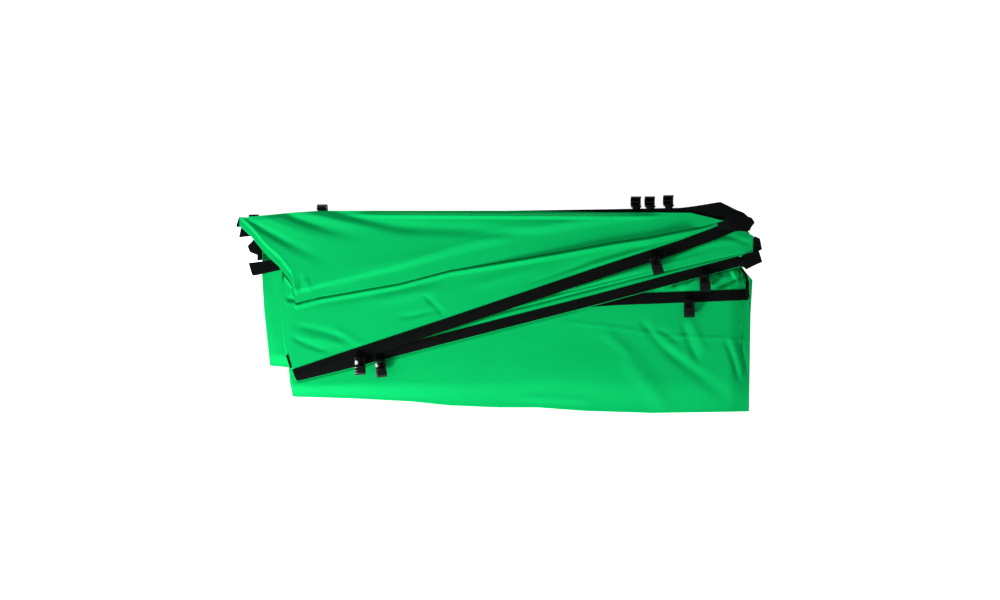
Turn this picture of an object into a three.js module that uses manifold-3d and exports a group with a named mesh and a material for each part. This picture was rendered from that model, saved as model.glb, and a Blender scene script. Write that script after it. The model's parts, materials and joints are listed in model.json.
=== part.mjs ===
// Fabric skin of a clip-on collapsible backdrop, folded flat for storage.
//
// One sheet of stretch fabric, about 4 m by 2.9 m, is pleated across its width and then folded
// zigzag into four leaves. Woven black binding runs round its edge, and moulded hooks hang from
// webbing tabs on the binding, to clip over a 16 mm frame tube.
//
// Millimetres, +Z up, +X along the bundle. The origin is the middle of the underside.

import * as THREE from 'three';
import Module from 'manifold-3d';
import { mergeVertices } from 'three/addons/utils/BufferGeometryUtils.js';

const manifold = await Module();
manifold.setup();

// ---------------------------------------------------------------- driving sizes

const GAP = 0.3;                 // between solids that lie on each other
const BINDING_THICK = 1.8;       // fabric edge inside its folded tape
const BINDING_WIDTH = 22;
const LEAF_THICK = [20, 7, 7, 9];

const TUBE_RADIUS = 8;           // frame tube that a hook clips over
const JAW_PLAY = 0.2;
const JAW_WALL = 2.2;
const JAW_REACH = 22.5;           // from the hook's bar to the middle of its jaw
const JAW_WRAP = 130;            // degrees round the tube, from the side opposite the bottom plate
const LIP_REACH = 3.2;
const HOOK_WIDTH = 21;
const BAR_RADIUS = 1.8;
const WINDOW_WIDTH = 16.2;       // slot behind the bar, which the tab passes through
const WINDOW_DEPTH = 4.4;
const TAB_WIDTH = 15.4;
const TAB_THICK = 1.0;
const BAR_PLAY = 0.4;            // between the bar and the tab's loop

const JAW_RADIUS = TUBE_RADIUS + JAW_PLAY;
const JAW_OUTER = JAW_RADIUS + JAW_WALL;
const LOOP_OUTER = BAR_RADIUS + BAR_PLAY + TAB_THICK;
const BAR_HEIGHT = GAP + LOOP_OUTER;   // of the bar's middle over the binding's face

// Heights of the four leaves and of the binding on each. A leaf lies on the one below.
const leafBottom = [0];
for (let leaf = 1; leaf < LEAF_THICK.length; leaf++) {
  const below = leafBottom[leaf - 1] + LEAF_THICK[leaf - 1];
  leafBottom.push(below + GAP + BINDING_THICK + GAP);
}
const bindingBottom = leafBottom.map((bottom, leaf) => bottom + LEAF_THICK[leaf] + GAP);
const bindingTop = bindingBottom.map((bottom) => bottom + BINDING_THICK);

// ---------------------------------------------------------------- materials

const MATERIALS = {
  fabric: { color: '#02c468', roughness: 0.72, metalness: 0 },
  binding: { color: '#0b0f0c', roughness: 0.85, metalness: 0 },
  hook: { color: '#0a0b0c', roughness: 0.22, metalness: 0 },
};

const model = new THREE.Group();

function addPiece(name, geometry, slot, parent = model) {
  const mesh = new THREE.Mesh(geometry, new THREE.MeshStandardMaterial(MATERIALS[slot]));
  mesh.name = name;
  parent.add(mesh);
  return mesh;
}

// ---------------------------------------------------------------- flat pieces

function shapeOf(points) {
  return new THREE.Shape(points.map(([x, y]) => new THREE.Vector2(x, y)));
}

function addSlab(name, outline, bottom, thick, slot) {
  const geometry = new THREE.ExtrudeGeometry(shapeOf(outline), { depth: thick, bevelEnabled: false });
  geometry.translate(0, 0, bottom);
  return addPiece(name, geometry, slot);
}

// The line beside a centre line, to its left for a positive distance.
function besideLine(line, distance) {
  return line.map((point, index) => {
    const before = line[Math.max(index - 1, 0)];
    const after = line[Math.min(index + 1, line.length - 1)];
    const length = Math.hypot(after[0] - before[0], after[1] - before[1]);
    const left = [-(after[1] - before[1]) / length, (after[0] - before[0]) / length];
    return [point[0] + left[0] * distance, point[1] + left[1] * distance];
  });
}

function addBinding(name, line, bottom, width = BINDING_WIDTH) {
  const outline = [...besideLine(line, -width / 2), ...besideLine(line, width / 2).reverse()];
  return addSlab(name, outline, bottom, BINDING_THICK, 'binding');
}

// ---------------------------------------------------------------- fabric leaves

// Centre lines of the bindings on the leaves' front edges, from the left fold to the right.
const FRONT_LINE = [
  [[-418, -30], [-120, -10], [240, 13], [400, 19], [497, 23]],
  [[-410, -141], [-320, -119], [-200, -88], [-120, -67], [40, -26], [200, 15], [360, 58], [480, 90]],
  [[-411, -138], [-320, -107], [-120, -41], [200, 67], [360, 119], [430, 145], [468, 161]],
  [[-526, 168], [-440, 164], [290, 158]],
];

function buildLowestLeaf() {
  const outline = [
    [-416, -182], [-292, -186], [-178, -192], [-100, -200], [0, -204], [76, -204], [172, -211],
    [306, -215], [500, -212], [501, -130], [499, -73], [503, -16], [507, 52], [484, 78], [484, 150],
    [-476, 150], [-478, 60], [-474, -8], [-467, -74], [-462, -120], [-418, -124], [-422, -156],
  ];
  addSlab('leaf_1_fabric', outline, leafBottom[0], LEAF_THICK[0], 'fabric');
  addBinding('leaf_1_front_binding', FRONT_LINE[0], bindingBottom[0]);
}

function buildSecondLeaf() {
  const outline = [
    ...besideLine(FRONT_LINE[1], -BINDING_WIDTH / 2), [506, 104], [507, 140], [490, 150],
    [-434, 150], [-434, -8], [-428, -84], [-414, -130],
  ];
  addSlab('leaf_2_fabric', outline, leafBottom[1], LEAF_THICK[1], 'fabric');
  addBinding('leaf_2_front_binding', FRONT_LINE[1], bindingBottom[1], 20);
}

function buildThirdLeaf() {
  const outline = [
    ...besideLine(FRONT_LINE[2], -BINDING_WIDTH / 2), [470, 166], [440, 168], [-430, 150],
    [-436, 60], [-438, -8], [-432, -78], [-426, -100], [-416, -128],
  ];
  addSlab('leaf_3_fabric', outline, leafBottom[2], LEAF_THICK[2], 'fabric');
  addBinding('leaf_3_front_binding', FRONT_LINE[2], bindingBottom[2], 23);
}

function buildTopLeaf() {
  const outline = [
    [-520, 160], [-496, 138], [-470, 106], [-438, 76], [-416, 46], [-408, 6], [-360, 18],
    [-200, 46], [-100, 72], [0, 88], [96, 104], [230, 128], [300, 138], [400, 158], [446, 170],
    [380, 186], [200, 187], [0, 190], [-356, 190], [-420, 186], [-520, 176],
  ];
  addSlab('leaf_4_fabric', outline, leafBottom[3], LEAF_THICK[3], 'fabric');
  addBinding('leaf_4_front_binding', FRONT_LINE[3], bindingBottom[2], 20);
}

// ---------------------------------------------------------------- bindings on the other edges

// The back bindings of the three lower leaves lie halfway up each leaf, beside its back edge.
function buildBackBindings() {
  const backEdge = [[-430, 162], [440, 162]];
  for (const leaf of [0, 1]) {
    const halfway = leafBottom[leaf] + (LEAF_THICK[leaf] - BINDING_THICK) / 2;
    addBinding(`leaf_${leaf + 1}_back_binding`, backEdge, halfway);
  }
  const thirdHalfway = leafBottom[2] + (LEAF_THICK[2] - BINDING_THICK) / 2;
  addBinding('leaf_3_back_binding', [[-424, 162], [-100, 168], [320, 180]], thirdHalfway, 20);

  const topOutline = [
    [-60, 171], [200, 172], [380, 176], [468, 178.5], [476, 190], [440, 208], [385, 199],
    [360, 196], [200, 193], [100, 191.5], [-60, 189],
  ];
  addSlab('leaf_4_back_binding', topOutline, bindingBottom[2], BINDING_THICK, 'binding');
}

// Where a binding turns through a fold, its end stands out past the fabric.
function buildFoldTurns() {
  const upperCorner = [[474, 151], [495, 148], [508, 166], [503, 176], [479, 184], [466, 174.5]];
  addSlab('leaf_3_fold_corner', upperCorner, bindingBottom[2], BINDING_THICK, 'binding');

  const leftEdge = [[-416, -123], [-424, -97], [-427, -99], [-419, -124]];
  addSlab('leaf_3_fold_edge', leftEdge, bindingBottom[2], BINDING_THICK, 'binding');

  const lowerStub = [[486, 80], [492, 73], [524, 88], [518, 110], [488, 103.5]];
  addSlab('leaf_2_fold_stub', lowerStub, bindingBottom[1], BINDING_THICK, 'binding');

  const upperStub = [[508.5, 106], [524, 113], [520, 135], [508.5, 140]];
  addSlab('leaf_2_fold_upper_stub', upperStub, leafBottom[1], LEAF_THICK[1], 'binding');

  const foldEdge = [[480, 76], [490, 62], [495, 46], [495, 35.5], [499, 35.5], [499, 47], [494, 64], [484, 78]];
  addSlab('leaf_1_fold_edge', foldEdge, bindingBottom[0], BINDING_THICK, 'binding');
}

// The bound ends of the sheet, pleated with it, show past the left ends of two leaves.
function buildSideBindings() {
  const lowerEnd = [
    [-503, 86], [-496, 60.5], [-484, 62], [-464, 67], [-441, 72], [-444, 84], [-454, 93], [-472, 90],
  ];
  addSlab('leaf_1_side_binding', lowerEnd, bindingBottom[0], 6, 'binding');

  const lowerTurn = [[-486, 91], [-476, 92], [-476, 110], [-486, 112]];
  addSlab('leaf_1_side_turn', lowerTurn, bindingBottom[0], 5, 'binding');

  const upperEnd = [[-517, 158], [-521, 137], [-494, 140], [-510, 160]];
  addSlab('leaf_4_side_binding', upperEnd, bindingBottom[2] - 5, 4.7, 'binding');

  const upperTurn = [[-504, 120], [-500, 108], [-486, 102], [-470, 112], [-491, 134]];
  addSlab('leaf_4_side_turn', upperTurn, bindingBottom[2] - 7, 6.7, 'binding');
}

// ---------------------------------------------------------------- hooks and tabs

function toSolid(geometry) {
  const bare = geometry.clone();
  bare.deleteAttribute('normal');
  bare.deleteAttribute('uv');
  const merged = mergeVertices(bare, 1e-4);
  return new manifold.Manifold(new manifold.Mesh({
    numProp: 3,
    vertProperties: merged.attributes.position.array,
    triVerts: Uint32Array.from(merged.index.array),
  }));
}

function toGeometry(solid) {
  const mesh = solid.getMesh();
  const geometry = new THREE.BufferGeometry();
  geometry.setAttribute('position', new THREE.BufferAttribute(mesh.vertProperties, 3));
  geometry.setIndex(new THREE.BufferAttribute(mesh.triVerts, 1));
  geometry.computeVertexNormals();
  return geometry;
}

// A profile in the Y-Z plane, drawn through the hook from side to side about X = 0.
function drawAcross(shape, width) {
  const settings = { depth: width, bevelEnabled: false, curveSegments: 10 };
  const geometry = new THREE.ExtrudeGeometry(shape, settings);
  geometry.translate(0, 0, -width / 2);
  const toProfilePlane = new THREE.Matrix4().set(0, 0, 1, 0, 1, 0, 0, 0, 0, 1, 0, 0, 0, 0, 0, 1);
  geometry.applyMatrix4(toProfilePlane);
  return geometry;
}

// Bar at the origin, a plate out along +Y, and a jaw that rises from the plate's end and wraps
// back over the tube. Its mouth is between the lip and the plate.
function hookGeometry() {
  const plateBottom = -BAR_RADIUS;
  const middle = [JAW_REACH, plateBottom + JAW_OUTER];
  const wrapEnd = THREE.MathUtils.degToRad(JAW_WRAP);
  const around = (radius, angle) => [
    middle[0] + radius * Math.cos(angle), middle[1] + radius * Math.sin(angle),
  ];
  const profile = new THREE.Shape();
  profile.absarc(0, 0, BAR_RADIUS, Math.PI / 2, 3 * Math.PI / 2, false);
  profile.lineTo(middle[0], plateBottom);
  profile.absarc(middle[0], middle[1], JAW_OUTER, -Math.PI / 2, wrapEnd - 0.16, false);
  profile.lineTo(...around(JAW_OUTER + LIP_REACH, wrapEnd + 0.02));
  profile.lineTo(...around(JAW_OUTER + LIP_REACH - 0.6, wrapEnd + 0.16));
  profile.absarc(middle[0], middle[1], JAW_RADIUS, wrapEnd, -Math.PI / 2, true);
  profile.lineTo(WINDOW_DEPTH + 1.6, plateBottom + JAW_WALL);
  profile.lineTo(WINDOW_DEPTH, BAR_RADIUS);
  profile.closePath();

  const windowShape = new THREE.Shape();
  windowShape.moveTo(0, -3);
  windowShape.lineTo(WINDOW_DEPTH, -3);
  windowShape.lineTo(WINDOW_DEPTH, 3);
  windowShape.lineTo(0, 3);
  windowShape.closePath();
  const barShape = new THREE.Shape();
  barShape.absarc(0, 0, BAR_RADIUS, 0, 2 * Math.PI, false);

  const bar = toSolid(drawAcross(barShape, WINDOW_WIDTH + 2));
  const windowCut = toSolid(drawAcross(windowShape, WINDOW_WIDTH)).subtract(bar);
  return toGeometry(toSolid(drawAcross(profile, HOOK_WIDTH)).subtract(windowCut));
}

// Webbing folded round the bar, its two layers sewn to the binding as one tail along -Y.
function tabGeometry(tail) {
  const profile = new THREE.Shape();
  const tailTop = -LOOP_OUTER + 2 * TAB_THICK;
  const meet = Math.PI - Math.asin(tailTop / LOOP_OUTER);
  profile.moveTo(-tail, -LOOP_OUTER);
  profile.absarc(0, 0, LOOP_OUTER, -Math.PI / 2, meet, false);
  profile.lineTo(-tail, tailTop);
  profile.closePath();
  const hole = new THREE.Path();
  hole.absarc(0, 0, BAR_RADIUS + BAR_PLAY, 0, 2 * Math.PI, true);
  profile.holes.push(hole);
  return drawAcross(profile, TAB_WIDTH);
}

// Where each bar lies and how its hook is put away: "aim" is the plan direction that the hook
// points in, in degrees from +X, and "droop" is how far it leans down from level.
const FRONT_DROOP = 12;
const LOWEST_DROOP = 7;
const SIDE_DROOP = 84;
const CLIPS = [
  { at: [-280, -103], leaf: 2, aim: -87, droop: FRONT_DROOP, tail: 11 },
  { at: [-240, -108], leaf: 1, aim: -83, droop: FRONT_DROOP, tail: 10 },
  { at: [308, 97], leaf: 2, aim: -75, droop: FRONT_DROOP, tail: 12 },
  { at: [408, 63], leaf: 1, aim: -86, droop: FRONT_DROOP, tail: 12 },
  { at: [378, 11], leaf: 0, aim: -89, droop: LOWEST_DROOP, tail: 12 },
  { at: [272, 198], leaf: 2, aim: 90, droop: SIDE_DROOP, tail: 9 },
  { at: [300, 198], leaf: 2, aim: 90, droop: SIDE_DROOP, tail: 9 },
  { at: [337, 200.5], leaf: 2, aim: 90, droop: SIDE_DROOP, tail: 9 },
];

function addClip(number, clip) {
  const holder = new THREE.Group();
  holder.position.set(clip.at[0], clip.at[1], bindingTop[clip.leaf] + BAR_HEIGHT);
  holder.rotation.z = THREE.MathUtils.degToRad(clip.aim - 90);
  model.add(holder);
  addPiece(`clip_${number}_tab`, tabGeometry(clip.tail), 'binding', holder);
  const hook = addPiece(`clip_${number}_hook`, hookGeometry(), 'hook', holder);
  hook.rotation.x = THREE.MathUtils.degToRad(-clip.droop);
}

// Two more tabs come from under the top leaf. The first hook hangs with its jaw turned inwards,
// and the second tab is sewn under its binding, so its hook hangs below the leaf's corner.
const TURNED_DROOP = 70;
const CORNER_DROOP = 108;
const TURNED_CLIP = { at: [-356, 194], leaf: 2, droop: TURNED_DROOP, tail: 12 };
const CORNER_CLIP = { at: [-494, 170], leaf: 2, droop: CORNER_DROOP, tail: 9 };

function addTurnedClip(number, clip) {
  const height = bindingBottom[clip.leaf] - GAP + LOOP_OUTER;
  const tab = addPiece(`clip_${number}_tab`, tabGeometry(clip.tail), 'binding');
  tab.position.set(clip.at[0], clip.at[1], height);
  const jawInwards = hookGeometry().rotateY(Math.PI);
  const hook = addPiece(`clip_${number}_hook`, jawInwards, 'hook');
  hook.position.copy(tab.position);
  hook.rotation.x = THREE.MathUtils.degToRad(-clip.droop);
}

function addCornerClip(number, clip) {
  const tab = addPiece(`clip_${number}_tab`, tabGeometry(clip.tail).rotateY(Math.PI), 'binding');
  tab.position.set(clip.at[0], clip.at[1], bindingBottom[clip.leaf] - BAR_HEIGHT);
  const hook = addPiece(`clip_${number}_hook`, hookGeometry(), 'hook');
  hook.position.copy(tab.position);
  hook.rotation.x = THREE.MathUtils.degToRad(-clip.droop);
}

// ---------------------------------------------------------------- assembly

buildLowestLeaf();
buildSecondLeaf();
buildThirdLeaf();
buildTopLeaf();
buildBackBindings();
buildFoldTurns();
buildSideBindings();
CLIPS.forEach((clip, index) => addClip(index + 1, clip));
addTurnedClip(CLIPS.length + 1, TURNED_CLIP);
addCornerClip(CLIPS.length + 2, CORNER_CLIP);

model.updateMatrixWorld(true);
const extent = new THREE.Box3().setFromObject(model, true);
const centre = extent.getCenter(new THREE.Vector3());
model.position.set(-centre.x, -centre.y, -extent.min.z);

export default model;
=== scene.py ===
"""The folded fabric skin of a clip-on backdrop: knit leaves, woven bindings, webbing tabs, hooks."""

import json
import math

import bmesh
import bpy
from mathutils import Matrix, Vector, noise

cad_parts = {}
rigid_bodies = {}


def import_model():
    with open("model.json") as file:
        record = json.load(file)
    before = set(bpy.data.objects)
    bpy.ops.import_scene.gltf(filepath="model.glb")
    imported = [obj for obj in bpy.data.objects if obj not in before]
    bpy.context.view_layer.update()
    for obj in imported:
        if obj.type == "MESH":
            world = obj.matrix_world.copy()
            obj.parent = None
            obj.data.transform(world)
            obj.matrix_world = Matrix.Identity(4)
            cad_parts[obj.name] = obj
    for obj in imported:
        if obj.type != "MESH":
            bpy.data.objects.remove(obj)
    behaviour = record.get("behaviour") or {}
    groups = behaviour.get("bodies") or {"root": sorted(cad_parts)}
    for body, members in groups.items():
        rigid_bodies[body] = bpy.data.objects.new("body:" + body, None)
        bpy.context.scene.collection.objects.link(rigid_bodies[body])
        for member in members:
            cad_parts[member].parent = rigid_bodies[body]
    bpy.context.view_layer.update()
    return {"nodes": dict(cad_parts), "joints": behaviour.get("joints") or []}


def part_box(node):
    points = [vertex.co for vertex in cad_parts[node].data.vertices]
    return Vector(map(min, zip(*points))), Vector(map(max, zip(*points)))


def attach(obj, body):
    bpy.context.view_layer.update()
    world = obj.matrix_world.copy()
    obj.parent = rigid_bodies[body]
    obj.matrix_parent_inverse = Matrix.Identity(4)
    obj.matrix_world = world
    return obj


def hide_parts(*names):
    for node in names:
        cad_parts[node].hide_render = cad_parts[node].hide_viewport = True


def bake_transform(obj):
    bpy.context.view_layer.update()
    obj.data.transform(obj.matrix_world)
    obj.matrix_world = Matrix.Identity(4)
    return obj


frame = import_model()

MM = 0.001

# ------------------------------------------------------------------ materials


class Signal:
    """A shader socket. Arithmetic on it adds the Math nodes that work it out."""

    def __init__(self, finish, socket):
        self.finish = finish
        self.socket = socket

    def math(self, operation, *values):
        return self.finish.add("ShaderNodeMath", {"operation": operation}, dict(enumerate(values)))

    def __add__(self, other):
        return self.math("ADD", self, other)

    def __sub__(self, other):
        return self.math("SUBTRACT", self, other)

    def __rsub__(self, other):
        return self.math("SUBTRACT", other, self)

    def __mul__(self, other):
        return self.math("MULTIPLY", self, other)

    def power(self, exponent):
        return self.math("POWER", self, exponent)

    def sine(self):
        return self.math("SINE", self)

    def fraction(self):
        return self.math("FRACT", self)

    def above(self, level):
        return self.math("GREATER_THAN", self, level)

    def size(self):
        return self.math("ABSOLUTE", self)

    __radd__ = __add__
    __rmul__ = __mul__


class Finish:
    """A material built from one Principled shader and the nodes that feed it."""

    def __init__(self, name, constants):
        self.material = bpy.data.materials.new(name)
        self.material.use_nodes = True
        self.tree = self.material.node_tree
        self.shader = self.tree.nodes["Principled BSDF"]
        for socket, value in constants.items():
            self.shader.inputs[socket].default_value = value

    def add(self, kind, settings, inputs, output=0):
        node = self.tree.nodes.new(kind)
        for name, value in settings.items():
            setattr(node, name, value)
        for place, value in inputs.items():
            self.connect(value, node.inputs[place])
        return Signal(self, node.outputs[output])

    def connect(self, value, socket):
        if isinstance(value, Signal):
            self.tree.links.new(value.socket, socket)
        else:
            socket.default_value = value

    def feed(self, socket, signal):
        self.connect(signal, self.shader.inputs[socket])

    def cloth_place(self):
        """Distance along and across the piece, in metres, from its own UV map."""
        place = self.add("ShaderNodeUVMap", {"uv_map": "cloth"}, {})
        parts = self.tree.nodes.new("ShaderNodeSeparateXYZ")
        self.tree.links.new(place.socket, parts.inputs[0])
        return Signal(self, parts.outputs["X"]), Signal(self, parts.outputs["Y"])

    def place(self):
        return self.add("ShaderNodeTexCoord", {}, {}, "Object")

    def noise(self, scale, detail, where):
        inputs = {"Vector": where, "Scale": scale, "Detail": detail, "Roughness": 0.55}
        return self.add("ShaderNodeTexNoise", {"noise_dimensions": "3D"}, inputs, "Fac")

    def blend_colours(self, share, first, second):
        node = self.tree.nodes.new("ShaderNodeMix")
        node.data_type = "RGBA"
        colours = [socket for socket in node.inputs if socket.type == "RGBA"]
        self.connect(share, node.inputs["Factor"])
        self.connect(first, colours[0])
        self.connect(second, colours[1])
        return Signal(self, next(s for s in node.outputs if s.type == "RGBA"))

    def bump(self, height, depth, strength=1.0):
        inputs = {"Height": height, "Distance": depth, "Strength": strength}
        self.feed("Normal", self.add("ShaderNodeBump", {}, inputs, "Normal"))


GREEN = (0.0, 0.425, 0.102, 1.0)
GREEN_DEEP = (0.0, 0.375, 0.086, 1.0)
BLACK = (0.0014, 0.0019, 0.0017, 1.0)
BLACK_WORN = (0.0050, 0.0060, 0.0055, 1.0)
WALE = 1.1 * MM
COURSE = 0.9 * MM
NAP_SCALE, MOTTLE_SCALE = 900.0, 14.0
KNIT_RELIEF = 0.06 * MM


def knit_finish():
    """Brushed stretch knit: fine ribs one way, loops the other, and a faint mottle."""
    finish = Finish("green_knit", {"Roughness": 0.82, "Specular IOR Level": 0.05})
    along, across = finish.cloth_place()
    ribs = (along * (2 * math.pi / WALE)).sine()
    loops = (across * (2 * math.pi / COURSE)).sine()
    nap = finish.noise(NAP_SCALE, 2.0, finish.place())
    mottle = finish.noise(MOTTLE_SCALE, 3.0, finish.place())
    finish.feed("Base Color", finish.blend_colours(mottle, GREEN_DEEP, GREEN))
    finish.feed("Roughness", nap * 0.14 + 0.74)
    finish.bump(ribs * loops * 0.5 + nap * 0.6, KNIT_RELIEF, 0.5)
    return finish.material


RIB = 0.9 * MM
STITCH = 3.2 * MM
STITCH_GAP = 0.25
STITCH_INSET = 3.0 * MM
SEAM_HALF_WIDTH = MM / 1.4
BINDING_WIDTH = 22 * MM
FUZZ_SCALE = 1200.0
TAPE_RELIEF = 0.12 * MM


def binding_finish():
    """Woven tape: ribs across it, two rows of lockstitch, and dusty high spots."""
    finish = Finish("black_binding", {"Roughness": 0.8, "Specular IOR Level": 0.04})
    along, across = finish.cloth_place()
    ribs = (along * (2 * math.pi / RIB)).sine()
    yarns = (across * (2 * math.pi / RIB)).sine()
    from_edge = BINDING_WIDTH / 2 - (across - BINDING_WIDTH / 2).size()
    seam = 1 - (from_edge - STITCH_INSET).size().above(SEAM_HALF_WIDTH)
    stitches = seam * (along * (1 / STITCH)).fraction().above(STITCH_GAP)
    fuzz = finish.noise(FUZZ_SCALE, 2.0, finish.place())
    finish.feed("Base Color", finish.blend_colours(fuzz * 0.5 + stitches * 0.3, BLACK, BLACK_WORN))
    finish.feed("Roughness", fuzz * 0.15 + 0.72)
    finish.bump(ribs * yarns * 0.6 + fuzz * 0.4 + stitches * 2.0, TAPE_RELIEF, 0.7)
    return finish.material


PLASTIC_BLACK = (0.0010, 0.0010, 0.0012, 1.0)
PLASTIC_RUBBED = (0.0030, 0.0030, 0.0034, 1.0)
RIPPLE_SCALE, RUB_SCALE = 160.0, 420.0
PLASTIC_RELIEF = 0.10 * MM


def plastic_finish():
    """Glossy injection-moulded plastic with a faint ripple and rubbed patches."""
    gloss = {"Roughness": 0.18, "Specular IOR Level": 0.15, "Coat Roughness": 0.05}
    finish = Finish("hook_plastic", gloss)
    ripple = finish.noise(RIPPLE_SCALE, 2.0, finish.place())
    rubbed = finish.noise(RUB_SCALE, 4.0, finish.place())
    finish.feed("Base Color", finish.blend_colours(rubbed, PLASTIC_BLACK, PLASTIC_RUBBED))
    finish.feed("Roughness", rubbed.power(2.0) * 0.3 + 0.08)
    finish.feed("Coat Weight", 0.12 - rubbed * 0.1)
    finish.bump(ripple, PLASTIC_RELIEF, 0.2)
    return finish.material


KNIT = knit_finish()
TAPE = binding_finish()
PLASTIC = plastic_finish()

# ------------------------------------------------------------------ small helpers


def smooth(t):
    t = min(max(t, 0.0), 1.0)
    return t * t * (3 - 2 * t)


def mix(a, b, t):
    return a + (b - a) * t


def ease(u):
    """Slow at both ends, so that rows and columns lie closer together there."""
    return 0.5 - 0.5 * math.cos(math.pi * u)


def finish_piece(name, bm, material, body, slot, *nodes):
    """Makes the object, turns on smooth shading, parents it to its body and hides the CAD nodes it
    stands for.
    """
    mesh = bpy.data.meshes.new(name)
    bm.to_mesh(mesh)
    bm.free()
    mesh.polygons.foreach_set("use_smooth", [True] * len(mesh.polygons))
    mesh.materials.append(material)
    piece = bpy.data.objects.new(name, mesh)
    bpy.context.scene.collection.objects.link(piece)
    if body:
        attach(piece, body)
    if nodes:
        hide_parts(*nodes)
    return piece


def thicken(piece, thickness):
    """Gives the cloth its thickness, half on each side."""
    solid = piece.modifiers.new("thickness", "SOLIDIFY")
    solid.thickness = thickness
    solid.offset = 0.0
    solid.use_even_offset = False


SPAN_MARGIN = 0.05 * MM
UNDERSIDE_DEPTH = 0.1 * MM
END_EASE = 0.6


class Outline:
    """The plan outline of a flat CAD node, read from the edges of its underside."""

    def __init__(self, node):
        low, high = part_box(node)
        self.left, self.right = low.x, high.x
        self.bottom, self.top = low.z, high.z
        mesh = frame["nodes"][node].data
        points = [vertex.co for vertex in mesh.vertices]
        ends = [tuple(points[index] for index in edge.vertices) for edge in mesh.edges]
        level = low.z + UNDERSIDE_DEPTH
        self.edges = [(a, b) for a, b in ends if a.z < level and b.z < level]
        self.corners = sorted({round(point.x, 5) for edge in self.edges for point in edge})

    def span(self, x):
        """Where a line across the bundle at x goes in and out, from front to back."""
        x = min(max(x, self.left + SPAN_MARGIN), self.right - SPAN_MARGIN)
        crossings = []
        for a, b in self.edges:
            if min(a.x, b.x) <= x <= max(a.x, b.x) and abs(b.x - a.x) > 1e-7:
                crossings.append(mix(a.y, b.y, (x - a.x) / (b.x - a.x)))
        return min(crossings), max(crossings)

    def columns(self, count):
        """Places along the bundle, closer together at its ends, with one on each corner."""
        even = [step / count for step in range(count + 1)]
        eased = [mix(u, ease(u), END_EASE) for u in even]
        places = [mix(self.left, self.right, u) for u in eased]
        for corner in self.corners:
            nearest = min(range(count + 1), key=lambda column: abs(places[column] - corner))
            places[nearest] = corner
        return sorted(places)


# ------------------------------------------------------------------ knit leaves

KNIT_THICK = 0.4 * MM
GROOVE_DEPTH = 4.0 * MM
GROOVE_WIDTH = 2.2 * MM
SWELL_LEAD = 5.5 * MM
SWELL_WIDTH = 4.2 * MM
UNDER_SHARE = 0.5
UNDER_REACH = 14 * MM
HELD_SHARE = 0.05
HELD_MARGIN = 1.5 * MM
HELD_REACH = 5 * MM
SWELL_FADE = 12 * MM
SWELL_TIP_FADE = 108 * MM
SWELL_LEFT_SHARE = 0.45
SWELL_START, SWELL_RUN = -150 * MM, 350 * MM
LAYER_PITCH = 1.15 * KNIT_THICK
SHELF_LEFT, SHELF_RIGHT, SHELF_RUN = 0.5, 1.3, 700 * MM
BROAD_WAVES, FINE_WAVES, FINE_SHARE = (5.5, 13.0), (16.0, 34.0), 0.3

RIDGE_OVERRUN = 0.15
RIDGE_BOW = 0.06
RIDGE_LEAN = 0.9
RIDGE_REACH = 3.2
RIDGE_FADE_IN, RIDGE_FADE_OUT, FAN_FADE = 0.35, 0.4, 0.5


class Ridge:
    """A long soft fold in the cloth, from one plan point to another, in millimetres.

    It may bow to its left (side) and spread out and die away towards its end (fan).
    """

    def __init__(self, start, end, width, height, side=0.0, fan=0.0):
        self.start = Vector(start) * MM
        self.width = width * MM
        self.height = height * MM
        self.side = side
        self.fan = fan
        run = Vector(end) * MM - self.start
        self.length = run.length
        self.along = run.normalized()
        self.across = Vector((-self.along.y, self.along.x))

    def lift(self, x, y):
        away = Vector((x, y)) - self.start
        share = away.dot(self.along) / self.length
        if not -RIDGE_OVERRUN < share < 1 + RIDGE_OVERRUN:
            return 0.0
        bow = RIDGE_BOW * self.length * math.sin(math.pi * min(max(share, 0), 1)) * self.side
        t = (away.dot(self.across) - bow) / (self.width * (1 + self.fan * (share - 0.4)))
        if abs(t) > RIDGE_REACH:
            return 0.0
        fade_in = smooth((share + RIDGE_OVERRUN) / RIDGE_FADE_IN)
        run_out = RIDGE_FADE_OUT + FAN_FADE * self.fan
        fade_out = smooth((1 + RIDGE_OVERRUN - share) / run_out)
        return self.height * fade_in * fade_out * math.exp(-t * t) * (1 + RIDGE_LEAN * t)


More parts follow.
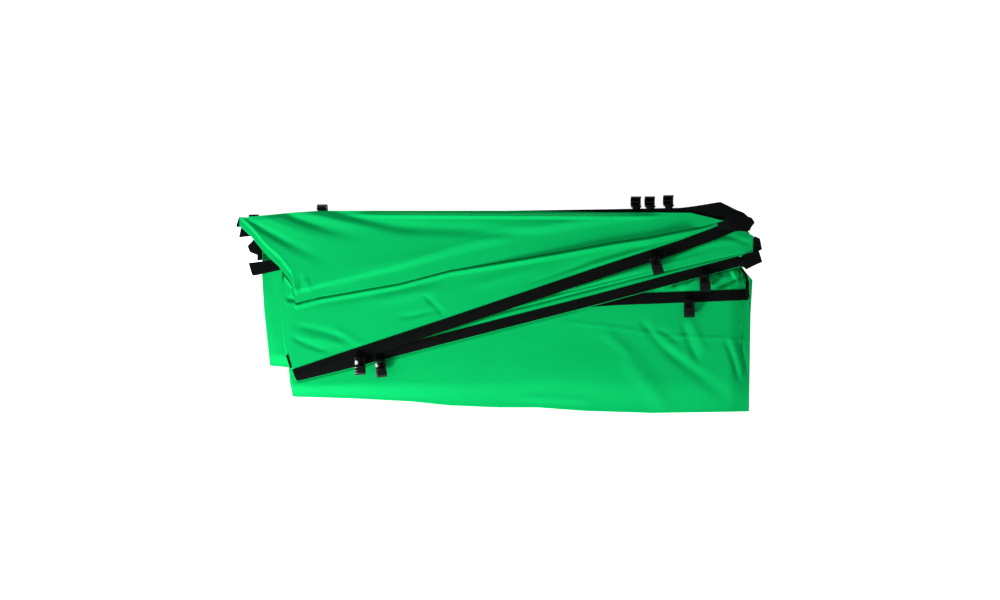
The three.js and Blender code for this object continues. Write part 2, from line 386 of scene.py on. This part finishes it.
class Leaf:
    """One leaf of the bundle: pleated knit between the underside and top of its CAD slab.

    Edge is how full the leaf is at its back and ends, and how far in (mm) it takes to fill out.
    Front is the same for its front, with the share of that distance that stays flat.
    Pressed_by lists the nodes that lie on it, with the height (mm) it swells to beside them.
    Held_by is the binding sewn along its front.
    """

    def __init__(self, number, layers, ridges, ripple, edge=(0.7, 26), front=(0.7, 20, 0),
                 pressed_by=(), held_by=None):
        self.number = number
        self.pressed_by = [(Outline(node), swell) for node, swell in pressed_by]
        self.band = Outline(held_by) if held_by else None
        self.node = f"leaf_{number}_fabric"
        self.body = f"leaf_{number}"
        self.outline = Outline(self.node)
        self.layers = layers
        self.ridges = [Ridge(*ridge) for ridge in ridges]
        self.ripple = ripple * MM
        self.edge_share = edge[0]
        self.edge_reach = edge[1] * MM
        self.front_share = front[0]
        self.front_reach = front[1] * MM
        self.front_flat = front[2]

    def groove(self, x, y):
        """The cloth swells before the front edge of the leaf above, then dips under it."""
        lift = 0.0
        for above, swell in self.pressed_by:
            if above.left < x < above.right:
                away = y - above.span(x)[0]
                ends = smooth((x - above.left) / SWELL_FADE)
                ends *= smooth((above.right - x) / SWELL_TIP_FADE)
                growth = smooth((x - SWELL_START) / SWELL_RUN)
                height = swell * MM * mix(SWELL_LEFT_SHARE, 1.0, growth)
                lift -= ends * GROOVE_DEPTH * math.exp(-((away / GROOVE_WIDTH) ** 2))
                lift += ends * height * math.exp(-(((away + SWELL_LEAD) / SWELL_WIDTH) ** 2))
        return lift

    def freedom(self, x, y):
        """How freely the cloth can wrinkle. The sewn binding along its front holds it flat."""
        if not self.band or not self.band.left < x < self.band.right:
            return 1.0
        front, back = self.band.span(x)
        away = max(front - y, y - back) - HELD_MARGIN
        return mix(HELD_SHARE, 1.0, smooth(away / HELD_REACH))

    def relief(self, x, y):
        """How far the cloth stands over or under an even surface."""
        lift = sum(ridge.lift(x, y) for ridge in self.ridges) + self.groove(x, y)
        lift *= self.freedom(x, y)
        broad = noise.noise(Vector((x * BROAD_WAVES[0], y * BROAD_WAVES[1], self.number * 3.7)))
        fine = noise.noise(Vector((x * FINE_WAVES[0], y * FINE_WAVES[1], self.number * 9.1)))
        return lift + self.ripple * (broad + FINE_SHARE * fine)

    def fullness(self, x, y, front, back):
        """The leaf's thickness here, as a share of its CAD slab's."""
        sides = min(back - y, x - self.outline.left, self.outline.right - x)
        full = mix(self.edge_share, 1.0, smooth(sides / self.edge_reach))
        wide = mix(SHELF_LEFT, SHELF_RIGHT, smooth((x - self.outline.left) / SHELF_RUN))
        inward = (y - front) / (self.front_reach * wide)
        rise = smooth((inward - self.front_flat) / (1 - self.front_flat))
        return full * mix(self.front_share, 1.0, rise)

    def height(self, x, y, layer=None, spans=None):
        """Height of a layer's middle, or of the top layer.

        At the edges the layers share the depth evenly. Further in, the top layer takes up the
        wrinkles, and the ones under it lie flatter and lower.
        """
        front, back = spans or self.outline.span(x)
        slab = self.outline.top - self.outline.bottom - KNIT_THICK / 2
        full = slab * self.fullness(x, y, front, back)
        depth = full + self.relief(x, y)
        least = self.layers * LAYER_PITCH
        if depth < 2 * least:
            depth = least + least * math.exp(depth / least - 2)
        if layer is None or layer == self.layers - 1:
            return self.outline.bottom + depth
        edge = min(y - front, back - y, x - self.outline.left, self.outline.right - x)
        depth = mix(depth, UNDER_SHARE * full, smooth(edge / UNDER_REACH))
        return self.outline.bottom + depth * (layer + 0.5) / (self.layers - 0.5)


ROW_EASE = 0.35
PLEAT_INSET, PLEAT_WANDER = 2.2 * MM, 2.2 * MM
LAYER_UV_STEP = 0.35


def leaf_rows(layers, top_rows, under_rows, front_bias):
    """The cloth's path across the leaf, as (layer, share of the way from front to back, bend)."""
    rows = []
    for layer in range(layers):
        count = top_rows if layer == layers - 1 else under_rows
        even = [step / count for step in range(count + 1)]
        if layer == layers - 1:
            shares = [mix(u, ease(u), ROW_EASE) ** front_bias for u in even]
        else:
            shares = [ease(u) for u in even]
        forward = layer % 2 == (layers - 1) % 2
        ordered = shares if forward else shares[::-1]
        rows += [(layer, share, 0) for share in ordered]
        if layer < layers - 1:
            rows.append((layer + 0.5, ordered[-1], 1 if ordered[-1] > 0.5 else -1))
    return rows


def pleat_inset(layer, place, end):
    """Each pleat under the top one stops a little short of it, by an uneven amount."""
    wander = noise.noise(Vector((place * 6.0, layer * 5.3, end * 11.0)))
    return PLEAT_INSET + PLEAT_WANDER * wander


def make_leaf(leaf, columns, top_rows, under_rows, front_bias=1.0):
    """The leaf's cloth as one sheet, from the lowest pleat to the top one."""
    rows = leaf_rows(leaf.layers, top_rows, under_rows, front_bias)
    top_layer = leaf.layers - 1
    outline = leaf.outline
    bm = bmesh.new()
    bmesh.ops.create_grid(bm, x_segments=columns, y_segments=len(rows) - 1, size=1.0)
    cloth = bm.loops.layers.uv.new("cloth")
    spans = {}
    where = {}
    places = outline.columns(columns)
    for vertex in bm.verts:
        column = round((vertex.co.x + 1) / 2 * columns)
        layer, share, bend = rows[round((vertex.co.y + 1) / 2 * (len(rows) - 1))]
        key = (column, layer)
        if key not in spans:
            under = 0.0 if layer == top_layer else 1.0
            ends = [under * pleat_inset(layer, 0.3, 2 + side) for side in (0, 1)]
            u = (places[column] - outline.left) / (outline.right - outline.left)
            x = mix(outline.left + ends[0], outline.right - ends[1], u)
            full = outline.span(x)
            room = 0.3 * (full[1] - full[0])
            insets = [under * min(pleat_inset(layer, x, side), room) for side in (0, 1)]
            spans[key] = (x, full, (full[0] + insets[0], full[1] - insets[1]))
        x, full, (front, back) = spans[key]
        y = mix(front, back, share)
        if bend:
            low = leaf.height(x, y, math.floor(layer), full)
            high = leaf.height(x, y, math.ceil(layer), full)
            z = (low + high) / 2
            y += bend * 0.5 * (high - low)
        else:
            z = leaf.height(x, y, layer, full)
        vertex.co = (x, y, z)
        where[vertex] = (x, y, layer)
    for face in bm.faces:
        for loop in face.loops:
            x, y, layer = where[loop.vert]
            loop[cloth].uv = (x, y + layer * LAYER_UV_STEP)
    bmesh.ops.recalc_face_normals(bm, faces=bm.faces)
    piece = finish_piece(f"leaf_{leaf.number}_cloth", bm, KNIT, leaf.body, "fabric", leaf.node)
    thicken(piece, KNIT_THICK)


# ------------------------------------------------------------------ bindings

TAPE_THICK = 1.3 * MM
TAPE_LIFT = 1.1 * MM
EDGE_DIP = 0.5 * MM
TAPE_ROUNDING = 0.35 * MM
TAPE_WANDER = 0.5 * MM
EDGE_KEEP, END_KEEP = 2 * MM, 3 * MM


def tape_piece(name, node, columns, rows, height, body):
    """A flat length of tape over the plan outline of its CAD node, laid at height(x, y)."""
    outline = Outline(node)
    bm = bmesh.new()
    bmesh.ops.create_grid(bm, x_segments=columns, y_segments=rows, size=1.0)
    cloth = bm.loops.layers.uv.new("cloth")
    across = {}
    for vertex in bm.verts:
        u = (vertex.co.x + 1) / 2
        s = (vertex.co.y + 1) / 2
        x = mix(outline.left, outline.right, u)
        front, back = outline.span(x)
        y = mix(front, back, s)
        edge = (2 * s - 1) ** 6
        vertex.co = (x, y, height(x, y) - EDGE_DIP * edge)
        across[vertex] = s * BINDING_WIDTH
    for face in bm.faces:
        for loop in face.loops:
            loop[cloth].uv = (loop.vert.co.x, across[loop.vert])
    piece = finish_piece(name, bm, TAPE, body, "binding", node)
    thicken(piece, TAPE_THICK)
    round_edges = piece.modifiers.new("rounding", "BEVEL")
    round_edges.width = TAPE_ROUNDING
    round_edges.segments = 2
    round_edges.limit_method = "ANGLE"
    round_edges.angle_limit = math.radians(50)
    return piece


def over(leaf, lift):
    """A height that follows a leaf's top, and eases over the leaf's own edge."""
    def height(x, y):
        front, back = leaf.outline.span(x)
        y_inside = min(max(y, front + EDGE_KEEP), back - EDGE_KEEP)
        x_inside = min(max(x, leaf.outline.left + END_KEEP), leaf.outline.right - END_KEEP)
        return leaf.height(x_inside, y_inside) + lift
    return height


def level(node):
    """The middle height of a CAD node, with a slight wander."""
    low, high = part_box(node)
    middle = (low.z + high.z) / 2
    return lambda x, y: middle + TAPE_WANDER * noise.noise(Vector((x * 40, y * 40, 1.0)))


# ------------------------------------------------------------------ hooks and tabs

BAR = 1.8 * MM
TUBE = 8.2 * MM
JAW_WALL = 2.2 * MM
JAW_REACH = 22.5 * MM
JAW_WRAP = math.radians(130)
LIP = 3.2 * MM
RIB_HEIGHT = 0.5 * MM
RIB_COUNT = 9
RIB_START, RIB_END = math.radians(10), math.radians(105)
HOOK_WIDTH = 21 * MM
JAW_ROUNDING, CHEEK_ROUNDING, BAR_ROUNDING = 0.45 * MM, 0.35 * MM, 0.1 * MM
CHEEK_INSET, BAR_INSET, BAR_SIDES = 0.3 * MM, 1.2 * MM, 24
WINDOW_WIDTH = 16.2 * MM
WINDOW_DEPTH = 4.4 * MM
TAB_WIDTH = 15.4 * MM
TAB_THICK = 1.0 * MM
LOOP_OUTER = BAR + 0.4 * MM + TAB_THICK


def arc(middle, radius, start, end, count):
    """Points on a circle about middle, from one angle to another."""
    steps = [start + (end - start) * step / count for step in range(count + 1)]
    return [(middle[0] + radius * math.cos(a), middle[1] + radius * math.sin(a)) for a in steps]


def jaw_profile():
    """Plate, round jaw and flared lip, as points (out, up) from the bar's middle."""
    middle = (JAW_REACH, JAW_WALL + TUBE - BAR)
    outer = TUBE + JAW_WALL
    lip = [arc(middle, outer + LIP * share, JAW_WRAP + turn, JAW_WRAP + turn, 1)[0]
           for share, turn in ((0.35, -0.11), (0.8, -0.03), (1.0, 0.06), (0.85, 0.15), (0.3, 0.10))]
    points = [(WINDOW_DEPTH, -BAR)]
    for y, z in arc(middle, outer, -math.pi / 2, JAW_WRAP - 0.2, 66):
        turn = math.atan2(z - middle[1], y - middle[0])
        rib = RIB_HEIGHT * (math.cos(turn * RIB_COUNT) ** 4 if RIB_START < turn < RIB_END else 0.0)
        points.append((y + rib * math.cos(turn), z + rib * math.sin(turn)))
    points += lip
    points += arc(middle, TUBE, JAW_WRAP, -math.pi / 2, 30)
    points += [(WINDOW_DEPTH + 1.8 * MM, JAW_WALL - BAR), (WINDOW_DEPTH, BAR)]
    return points


def cheek_profile():
    """The plate's side beside the window, round about the bar."""
    points = arc((0, 0), BAR, math.pi / 2, 3 * math.pi / 2, 14)
    return points + [(WINDOW_DEPTH + 0.4 * MM, -BAR), (WINDOW_DEPTH + 0.4 * MM, BAR)]


def extrude_profile(bm, points, left, right, rounding):
    """A closed profile drawn from side to side, with its two side faces' edges rounded."""
    verts = [bm.verts.new((left, y, z)) for y, z in points]
    face = bm.faces.new(verts)
    drawn = bmesh.ops.extrude_face_region(bm, geom=[face])
    moved = [item for item in drawn["geom"] if isinstance(item, bmesh.types.BMVert)]
    bmesh.ops.translate(bm, verts=moved, vec=(right - left, 0, 0))
    caps = [face] + [item for item in drawn["geom"] if isinstance(item, bmesh.types.BMFace)]
    rims = list({edge for cap in caps if cap.is_valid for edge in cap.edges})
    bmesh.ops.bevel(bm, geom=rims, offset=rounding, offset_type="OFFSET", affect="EDGES",
                    segments=2, profile=0.5, material=-1, clamp_overlap=True)


def hook_mesh():
    """The moulding: jaw and plate, the two cheeks beside the window, and the bar."""
    bm = bmesh.new()
    half = HOOK_WIDTH / 2
    window = WINDOW_WIDTH / 2
    extrude_profile(bm, jaw_profile(), -half, half, JAW_ROUNDING)
    for side in (-1, 1):
        inner = side * window
        outer = side * (half - CHEEK_INSET)
        extrude_profile(bm, cheek_profile(), min(inner, outer), max(inner, outer), CHEEK_ROUNDING)
    last_turn = 2 * math.pi * (BAR_SIDES - 1) / BAR_SIDES
    bar = arc((0, 0), BAR, 0, last_turn, BAR_SIDES - 1)
    extrude_profile(bm, bar, -half + BAR_INSET, half - BAR_INSET, BAR_ROUNDING)
    bmesh.ops.recalc_face_normals(bm, faces=bm.faces)
    return bm


def tab_mesh(tail):
    """Webbing round the bar, with its two layers closed together into a tail."""
    bm = bmesh.new()
    hole = BAR + 0.3 * MM
    tail_top = -LOOP_OUTER + 2 * TAB_THICK
    meet = math.pi - math.asin(tail_top / LOOP_OUTER)
    outer = [(-tail, -LOOP_OUTER)] + arc((0, 0), LOOP_OUTER, -math.pi / 2, meet, 26)
    outer += [(-tail, tail_top)]
    ring = arc((0, 0), hole, -math.pi / 2, 3 * math.pi / 2, 26)
    half = TAB_WIDTH / 2
    edges = []
    for points in (outer, ring[:-1]):
        verts = [bm.verts.new((-half, y, z)) for y, z in points]
        edges += [bm.edges.new((verts[i], verts[(i + 1) % len(verts)])) for i in range(len(verts))]
    bmesh.ops.triangle_fill(bm, edges=edges, use_beauty=True)
    side = list(bm.faces)
    drawn = bmesh.ops.extrude_face_region(bm, geom=side)
    moved = [item for item in drawn["geom"] if isinstance(item, bmesh.types.BMVert)]
    bmesh.ops.translate(bm, verts=moved, vec=(2 * half, 0, 0))
    bmesh.ops.recalc_face_normals(bm, faces=bm.faces)
    cloth = bm.loops.layers.uv.new("cloth")
    for face in bm.faces:
        for loop in face.loops:
            loop[cloth].uv = (loop.vert.co.y + loop.vert.co.z, loop.vert.co.x + BINDING_WIDTH / 2)
    return bm


SWINGS = {joint["name"]: joint for joint in frame["joints"] if joint["name"].endswith("_swing")}
PARENTS = {joint["child"]: joint["parent"] for joint in frame["joints"]}

# How far each hook leans down from level, in degrees, and how long its tab's tail is, in mm.
FRONT_DROOP, LOWEST_DROOP, SIDE_DROOP, TURNED_DROOP, CORNER_DROOP = 12, 7, 84, 70, 108
DROOPS = {1: FRONT_DROOP, 2: FRONT_DROOP, 3: FRONT_DROOP, 4: FRONT_DROOP, 5: LOWEST_DROOP,
          6: SIDE_DROOP, 7: SIDE_DROOP, 8: SIDE_DROOP, 9: TURNED_DROOP, 10: CORNER_DROOP}
TAILS = {1: 11, 2: 10, 3: 12, 4: 12, 5: 12, 6: 9, 7: 9, 8: 9, 9: 12, 10: 9}
# The hook with its jaw turned inwards, and the tab with its tail on top.
TURNED_CLIP, CORNER_CLIP = 9, 10


def clip_place(number):
    """The bar's place, with X along the bar, Y out from the binding and Z up."""
    joint = SWINGS[f"clip_{number}_swing"]
    along = Vector(joint["axis"]).normalized()
    up = Vector((0, 0, 1))
    turn = Matrix((along, up.cross(along), up)).transposed().to_4x4()
    return Matrix.Translation(Vector(joint["pos_m"])) @ turn


def make_clip(number):
    """One hook and the webbing tab that holds it. Gives back the tab."""
    place = clip_place(number)
    droop = Matrix.Rotation(math.radians(-DROOPS[number]), 4, "X")
    half_turn = Matrix.Rotation(math.pi, 4, "Y")
    hook = hook_mesh()
    jaw_turn = half_turn if number == TURNED_CLIP else Matrix.Identity(4)
    hook.transform(place @ droop @ jaw_turn)
    finish_piece(f"clip_{number}_hook_moulding", hook, PLASTIC, f"clip_{number}", "hook",
                 f"clip_{number}_hook")
    tab = tab_mesh(TAILS[number] * MM)
    tab_turn = half_turn if number == CORNER_CLIP else Matrix.Identity(4)
    tab.transform(place @ tab_turn)
    body = PARENTS[f"clip_{number}"]
    return finish_piece(f"clip_{number}_tab_webbing", tab, TAPE, body, "binding", f"clip_{number}_tab")


def join_piece(name, corners, z, body):
    """A flat scrap of tape that closes the gap between two sewn lengths. The corner one also runs under
    the top leaf's tip as painted shade.
    """
    bm = bmesh.new()
    bm.faces.new([bm.verts.new((x * MM, y * MM, z * MM)) for x, y in corners])
    bmesh.ops.recalc_face_normals(bm, faces=bm.faces)
    cloth = bm.loops.layers.uv.new("cloth")
    for face in bm.faces:
        for loop in face.loops:
            loop[cloth].uv = (loop.vert.co.x, loop.vert.co.y)
    piece = finish_piece(name, bm, TAPE, body, "binding")
    thicken(piece, TAPE_THICK)
    return piece


# ------------------------------------------------------------------ cloth round the folds


FOLD_ROWS = 18
FOLD_THICK = 0.6 * MM
FOLD_WANDER = 0.25


def fold_turn(name, lower, upper, bulge, material, slot, columns=30):
    """Cloth that comes out of the end of one leaf and turns back into the next.

    Lower and upper are its two edges and bulge is how far it stands out, in mm.
    """
    bm = bmesh.new()
    bmesh.ops.create_grid(bm, x_segments=columns, y_segments=FOLD_ROWS, size=1.0)
    cloth = bm.loops.layers.uv.new("cloth")
    starts = [Vector(p) * MM for p in lower]
    ends = [Vector(p) * MM for p in upper]
    outward = Vector(bulge) * MM
    for vertex in bm.verts:
        u = (vertex.co.x + 1) / 2
        turn = (vertex.co.y + 1) / 2 * math.pi
        start = starts[0].lerp(starts[1], u)
        end = ends[0].lerp(ends[1], u)
        wander = 1 + FOLD_WANDER * noise.noise(Vector((u * 5.0, 0.0, 4.0)))
        middle = start.lerp(end, 0.5 - 0.5 * math.cos(turn))
        vertex.co = middle + outward * (math.sin(turn) * wander)
    for face in bm.faces:
        for loop in face.loops:
            loop[cloth].uv = (loop.vert.co.y, loop.vert.co.z)
    bmesh.ops.recalc_face_normals(bm, faces=bm.faces)
    piece = finish_piece(name, bm, material, None, slot)
    thicken(piece, FOLD_THICK)
    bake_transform(piece)


# ------------------------------------------------------------------ camera, light and floor

VIEW_WIDTH = 2.0
CAMERA_PLACE = (0.0012, 0.0086, 6.0)
BUNDLE_MIDDLE = 0.03
SENSOR = 36.0
CLIP_END = 50
FLOOR_SIZE = 14.0
FLOOR_DROP = 0.5 * MM
FLOOR_GLOW = 0.85
ROOM_LIGHT = 0.46
KEY_PLACE, KEY_TARGET, KEY_SIZE, KEY_POWER = (-0.95, -1.5, 0.95), (-0.1, 0, 0), 0.5, 60
FILL_PLACE, FILL_TARGET, FILL_SIZE, FILL_POWER = (-2.2, -0.6, 2.6), (0, 0, 0), 1.6, 26


def aim_at(thing, target):
    thing.rotation_euler = (Vector(target) - thing.location).to_track_quat("-Z", "Y").to_euler()


def area_light(name, location, target, size, power):
    light = bpy.data.lights.new(name, "AREA")
    light.shape = "SQUARE"
    light.size = size
    light.energy = power
    lamp = bpy.data.objects.new(name, light)
    lamp.location = location
    bpy.context.scene.collection.objects.link(lamp)
    aim_at(lamp, target)


def make_studio():
    camera_data = bpy.data.cameras.new("camera")
    camera_data.sensor_width = SENSOR
    camera_data.lens = SENSOR * (CAMERA_PLACE[2] - BUNDLE_MIDDLE) / VIEW_WIDTH
    camera_data.clip_end = CLIP_END
    camera = bpy.data.objects.new("camera", camera_data)
    camera.location = CAMERA_PLACE
    bpy.context.scene.collection.objects.link(camera)
    bpy.context.scene.camera = camera

    bm = bmesh.new()
    bmesh.ops.create_grid(bm, x_segments=1, y_segments=1, size=FLOOR_SIZE)
    mesh = bpy.data.meshes.new("floor")
    bm.to_mesh(mesh)
    bm.free()
    floor = bpy.data.objects.new("floor", mesh)
    floor.location.z = -FLOOR_DROP
    bpy.context.scene.collection.objects.link(floor)
    pale = Finish("pale_floor", {"Base Color": (0.93, 0.93, 0.93, 1), "Roughness": 0.9,
                                 "Emission Color": (1, 1, 1, 1), "Emission Strength": FLOOR_GLOW})
    mesh.materials.append(pale.material)

    world = bpy.data.worlds.new("studio")
    world.use_nodes = True
    background = world.node_tree.nodes["Background"]
    background.inputs["Color"].default_value = (1, 1, 1, 1)
    background.inputs["Strength"].default_value = ROOM_LIGHT
    bpy.context.scene.world = world
    area_light("key", KEY_PLACE, KEY_TARGET, KEY_SIZE, KEY_POWER)
    area_light("fill", FILL_PLACE, FILL_TARGET, FILL_SIZE, FILL_POWER)
    bpy.context.scene.view_settings.view_transform = "Standard"


# ------------------------------------------------------------------ the bundle

make_studio()

# Ridges: start and end in plan, half width, height (all mm), how far the line bows to its left,
# and how much it spreads towards its end.
LOWEST = Leaf(1, 9, [
    ((284, -38), (362, -118), 8, -2.9, -0.5, 0.4), ((340, -100), (470, -206), 14, -2.8, 0.3, 0.6),
    ((300, -60), (440, -166), 12, 2.0, 0.3, 0.4), ((316, -52), (356, -76), 5, -1.9, 0.5),
    ((365, -40), (398, -118), 7, -2.2, -0.4), ((380, -30), (410, -96), 8, 1.6, -0.3),
    ((452, -74), (476, -150), 6, -2.3, 0.4), ((478, -72), (494, -138), 5, -1.9, 0.3),
    ((464, -74), (488, -150), 6, 1.3, 0.4), ((140, -38), (330, -64), 2.4, 1.5, 0.2),
    ((330, -64), (500, -74), 2.4, 1.7, 0.1), ((250, -110), (330, -214), 20, 2.2, 0.2),
    ((210, -60), (262, -104), 12, 1.8, -0.2), ((40, -190), (180, -196), 9, 1.6, 0.0),
    ((-200, -150), (300, -140), 40, 1.2, 0.1), ((-472, 40), (-455, -110), 12, 1.5, 0.1),
    ((318, 32), (372, 50), 4, 6.5, 0.6), ((350, 36), (392, 60), 3.5, -9.0, 0.6),
    ((366, 30), (404, 52), 4.5, 6.0, -0.5), ((396, 62), (494, 74), 4.5, -12.0, 0.1),
    ((424, 34), (462, 56), 5, 6.0, 0.6), ((440, 30), (486, 52), 4, -9.0, 0.5),
    ((462, 72), (478, 44), 4, 6.5, 0.4), ((478, 72), (496, 44), 3.5, -9.0, -0.4),
    ((430, 66), (446, 58), 4, -10.0, 0.0),
], ripple=1.2, edge=(0.4, 50), front=(0.5, 50, 0), pressed_by=[("leaf_2_front_binding", 0.8)],
   held_by="leaf_1_front_binding")
SECOND = Leaf(2, 5, [
    ((2, -18), (270, 50), 1.9, -4.0, 0.0), ((270, 50), (486, 101), 1.9, -4.0, 0.0),
    ((30, -2), (280, 60), 1.6, -2.4, 0.0), ((2, -26), (480, 94), 3, 1.0, 0.0),
    ((20, 2), (420, 100), 5, 1.4, 0.0), ((380, 112), (500, 130), 8, 1.8, 0.2),
    ((430, 140), (500, 120), 6, -1.8, 0.3),
], ripple=0.4, pressed_by=[("leaf_3_front_binding", 0.6)],
   held_by="leaf_2_front_binding")
THIRD = Leaf(3, 5, [
    ((-414, -68), (-340, -96), 6, -2.0, -0.5), ((-404, -46), (-300, -74), 7, -2.0, 0.5),
    ((-398, -66), (-308, -86), 7, 1.3, 0.4), ((-330, -52), (-270, -84), 8, 1.2, -0.5),
    ((-250, 0), (-120, 26), 12, 1.8, 0.3), ((-150, 16), (-112, -24), 5, -2.2, 0.4),
    ((-196, -28), (-128, -14), 6, -1.6, -0.3), ((-60, 30), (90, 70), 12, 1.6, 0.2),
    ((130, 66), (300, 118), 7, -2.4, 0.2), ((150, 66), (310, 104), 9, 2.0, 0.2),
    ((-420, 0), (-330, 30), 10, 1.8, 0.3), ((60, 40), (180, 80), 5, -1.2, 0.1),
    ((-380, 2), (-130, 46), 12, -2.2, -0.2), ((280, 118), (400, 152), 5, 1.8, 0.0),
    ((-424, 10), (-396, 4), 5, -6.0, 0.0),
], ripple=0.7, pressed_by=[("leaf_4_fabric", 17)],
   held_by="leaf_3_front_binding")
TOP = Leaf(4, 5, [
    ((-514, 160), (-424, 62), 9, 2.0, -0.1), ((-512, 172), (-350, 84), 9, -4.4, -0.25, 0.8),
    ((-484, 178), (-330, 118), 10, 1.8, -0.2, 0.6), ((-452, 186), (-280, 130), 9, -4.0, -0.2, 0.8),
    ((-412, 188), (-240, 148), 9, 1.6, -0.2, 0.6), ((-372, 190), (-150, 144), 10, -4.0, -0.2, 0.6),
    ((-220, 152), (80, 134), 13, -3.2, 0.05), ((-236, 184), (290, 181), 3.2, -7.5, 0.0),
    ((-236, 176), (290, 173), 4.4, 8.5, 0.0),
    ((90, 124), (440, 178), 9, -4.0, 0.03), ((-60, 140), (360, 176), 10, 1.8, 0.05),
    ((-300, 60), (-60, 100), 16, 1.4, 0.2),
    ((-398, 56), (-398, 10), 4, -2.2, 0.1), ((-388, 50), (-376, 18), 4, 2.0, 0.1),
    ((-428, 66), (-408, 20), 6, 2.0, 0.1), ((-340, 30), (-280, 44), 7, 1.8, 0.2),
], ripple=1.0, edge=(0.8, 10), front=(0.10, 46, 0.5))

bindings = {1: [], 2: [], 3: [], 4: []}
tops = {1: over(LOWEST, TAPE_LIFT), 2: over(SECOND, TAPE_LIFT), 3: over(THIRD, TAPE_LIFT)}
for number in (1, 2, 3):
    node = f"leaf_{number}_front_binding"
    bindings[number].append(
        tape_piece(f"leaf_{number}_front_tape", node, 220, 10, tops[number], f"leaf_{number}"))
    node = f"leaf_{number}_back_binding"
    bindings[number].append(
        tape_piece(f"leaf_{number}_back_tape", node, 160, 8, level(node), f"leaf_{number}"))
for part in ("front", "back"):
    node = f"leaf_4_{part}_binding"
    bindings[4].append(tape_piece(f"leaf_4_{part}_tape", node, 160, 8, level(node), "leaf_4"))

SMALL_TAPES = {
    "leaf_1_fold_edge": 1, "leaf_1_side_binding": 1, "leaf_1_side_turn": 1,
    "leaf_2_fold_stub": 2, "leaf_2_fold_upper_stub": 2, "leaf_3_fold_corner": 3, "leaf_3_fold_edge": 3,
    "leaf_4_side_binding": 4, "leaf_4_side_turn": 4,
}
for node, number in SMALL_TAPES.items():
    bindings[number].append(tape_piece(f"{node}_tape", node, 24, 12, level(node), f"leaf_{number}"))

# The corner join also runs on under the tip of the top leaf, a little behind its front edge. That run is
# black tape laid where there is only the shade of the gap under the tip: painted shade.
UNDER_TIP_SHADE = [(x, TOP.outline.span(x * MM)[0] / MM + 2) for x in (320, 380, 434)]
CORNER = [(438, 152), (471, 146), (500, 147), (508, 165), (488, 183), (478, 187), (385, 187), (320, 186)]
STUB = [(476, 79), (493, 72), (496, 101), (475, 96)]
UPPER_STUB = [(496, 99), (513, 104), (512, 134), (496, 134)]
EDGE = [(493, 46), (499, 46), (501, 12), (493, 12)]
# Its run under the top leaf's tip is dark tape standing for the shade there: painted shade.
bindings[3].append(join_piece("leaf_3_corner_join_and_tip_shade", UNDER_TIP_SHADE + CORNER, 39.0, "leaf_3"))
bindings[2].append(join_piece("leaf_2_stub_join", STUB, 28.9, "leaf_2"))
bindings[2].append(join_piece("leaf_2_upper_join", UPPER_STUB, 24.5, "leaf_2"))
bindings[1].append(join_piece("leaf_1_edge_join", EDGE, 20.9, "leaf_1"))

for number in range(1, 11):
    tab = make_clip(number)
    bindings[int(PARENTS[f"clip_{number}"][-1])].append(tab)

make_leaf(LOWEST, columns=240, top_rows=106, under_rows=9)
make_leaf(SECOND, columns=260, top_rows=90, under_rows=12,
          front_bias=1.7)
make_leaf(THIRD, columns=270, top_rows=104, under_rows=12)
make_leaf(TOP, columns=270, top_rows=100, under_rows=12)

fold_turn("fold_1_2_cloth", ((485, 96, 18.5), (485, 146, 18.5)), ((493, 100, 23.4), (493, 144, 23.4)),
          (10, 0, 0), KNIT, "fabric")
fold_turn("fold_2_3_cloth",
          ((-407, -110, 28.4), (-431, 135, 28.4)), ((-407, -110, 32.6), (-431, 135, 32.6)), (-7, 0, 0),
          KNIT, "fabric")
fold_turn("fold_3_4_tape", ((478, 160, 38.6), (483, 182, 38.6)), ((456, 161, 41.7), (461, 183, 41.7)),
          (8, 0, 0), TAPE, "binding", columns=8)
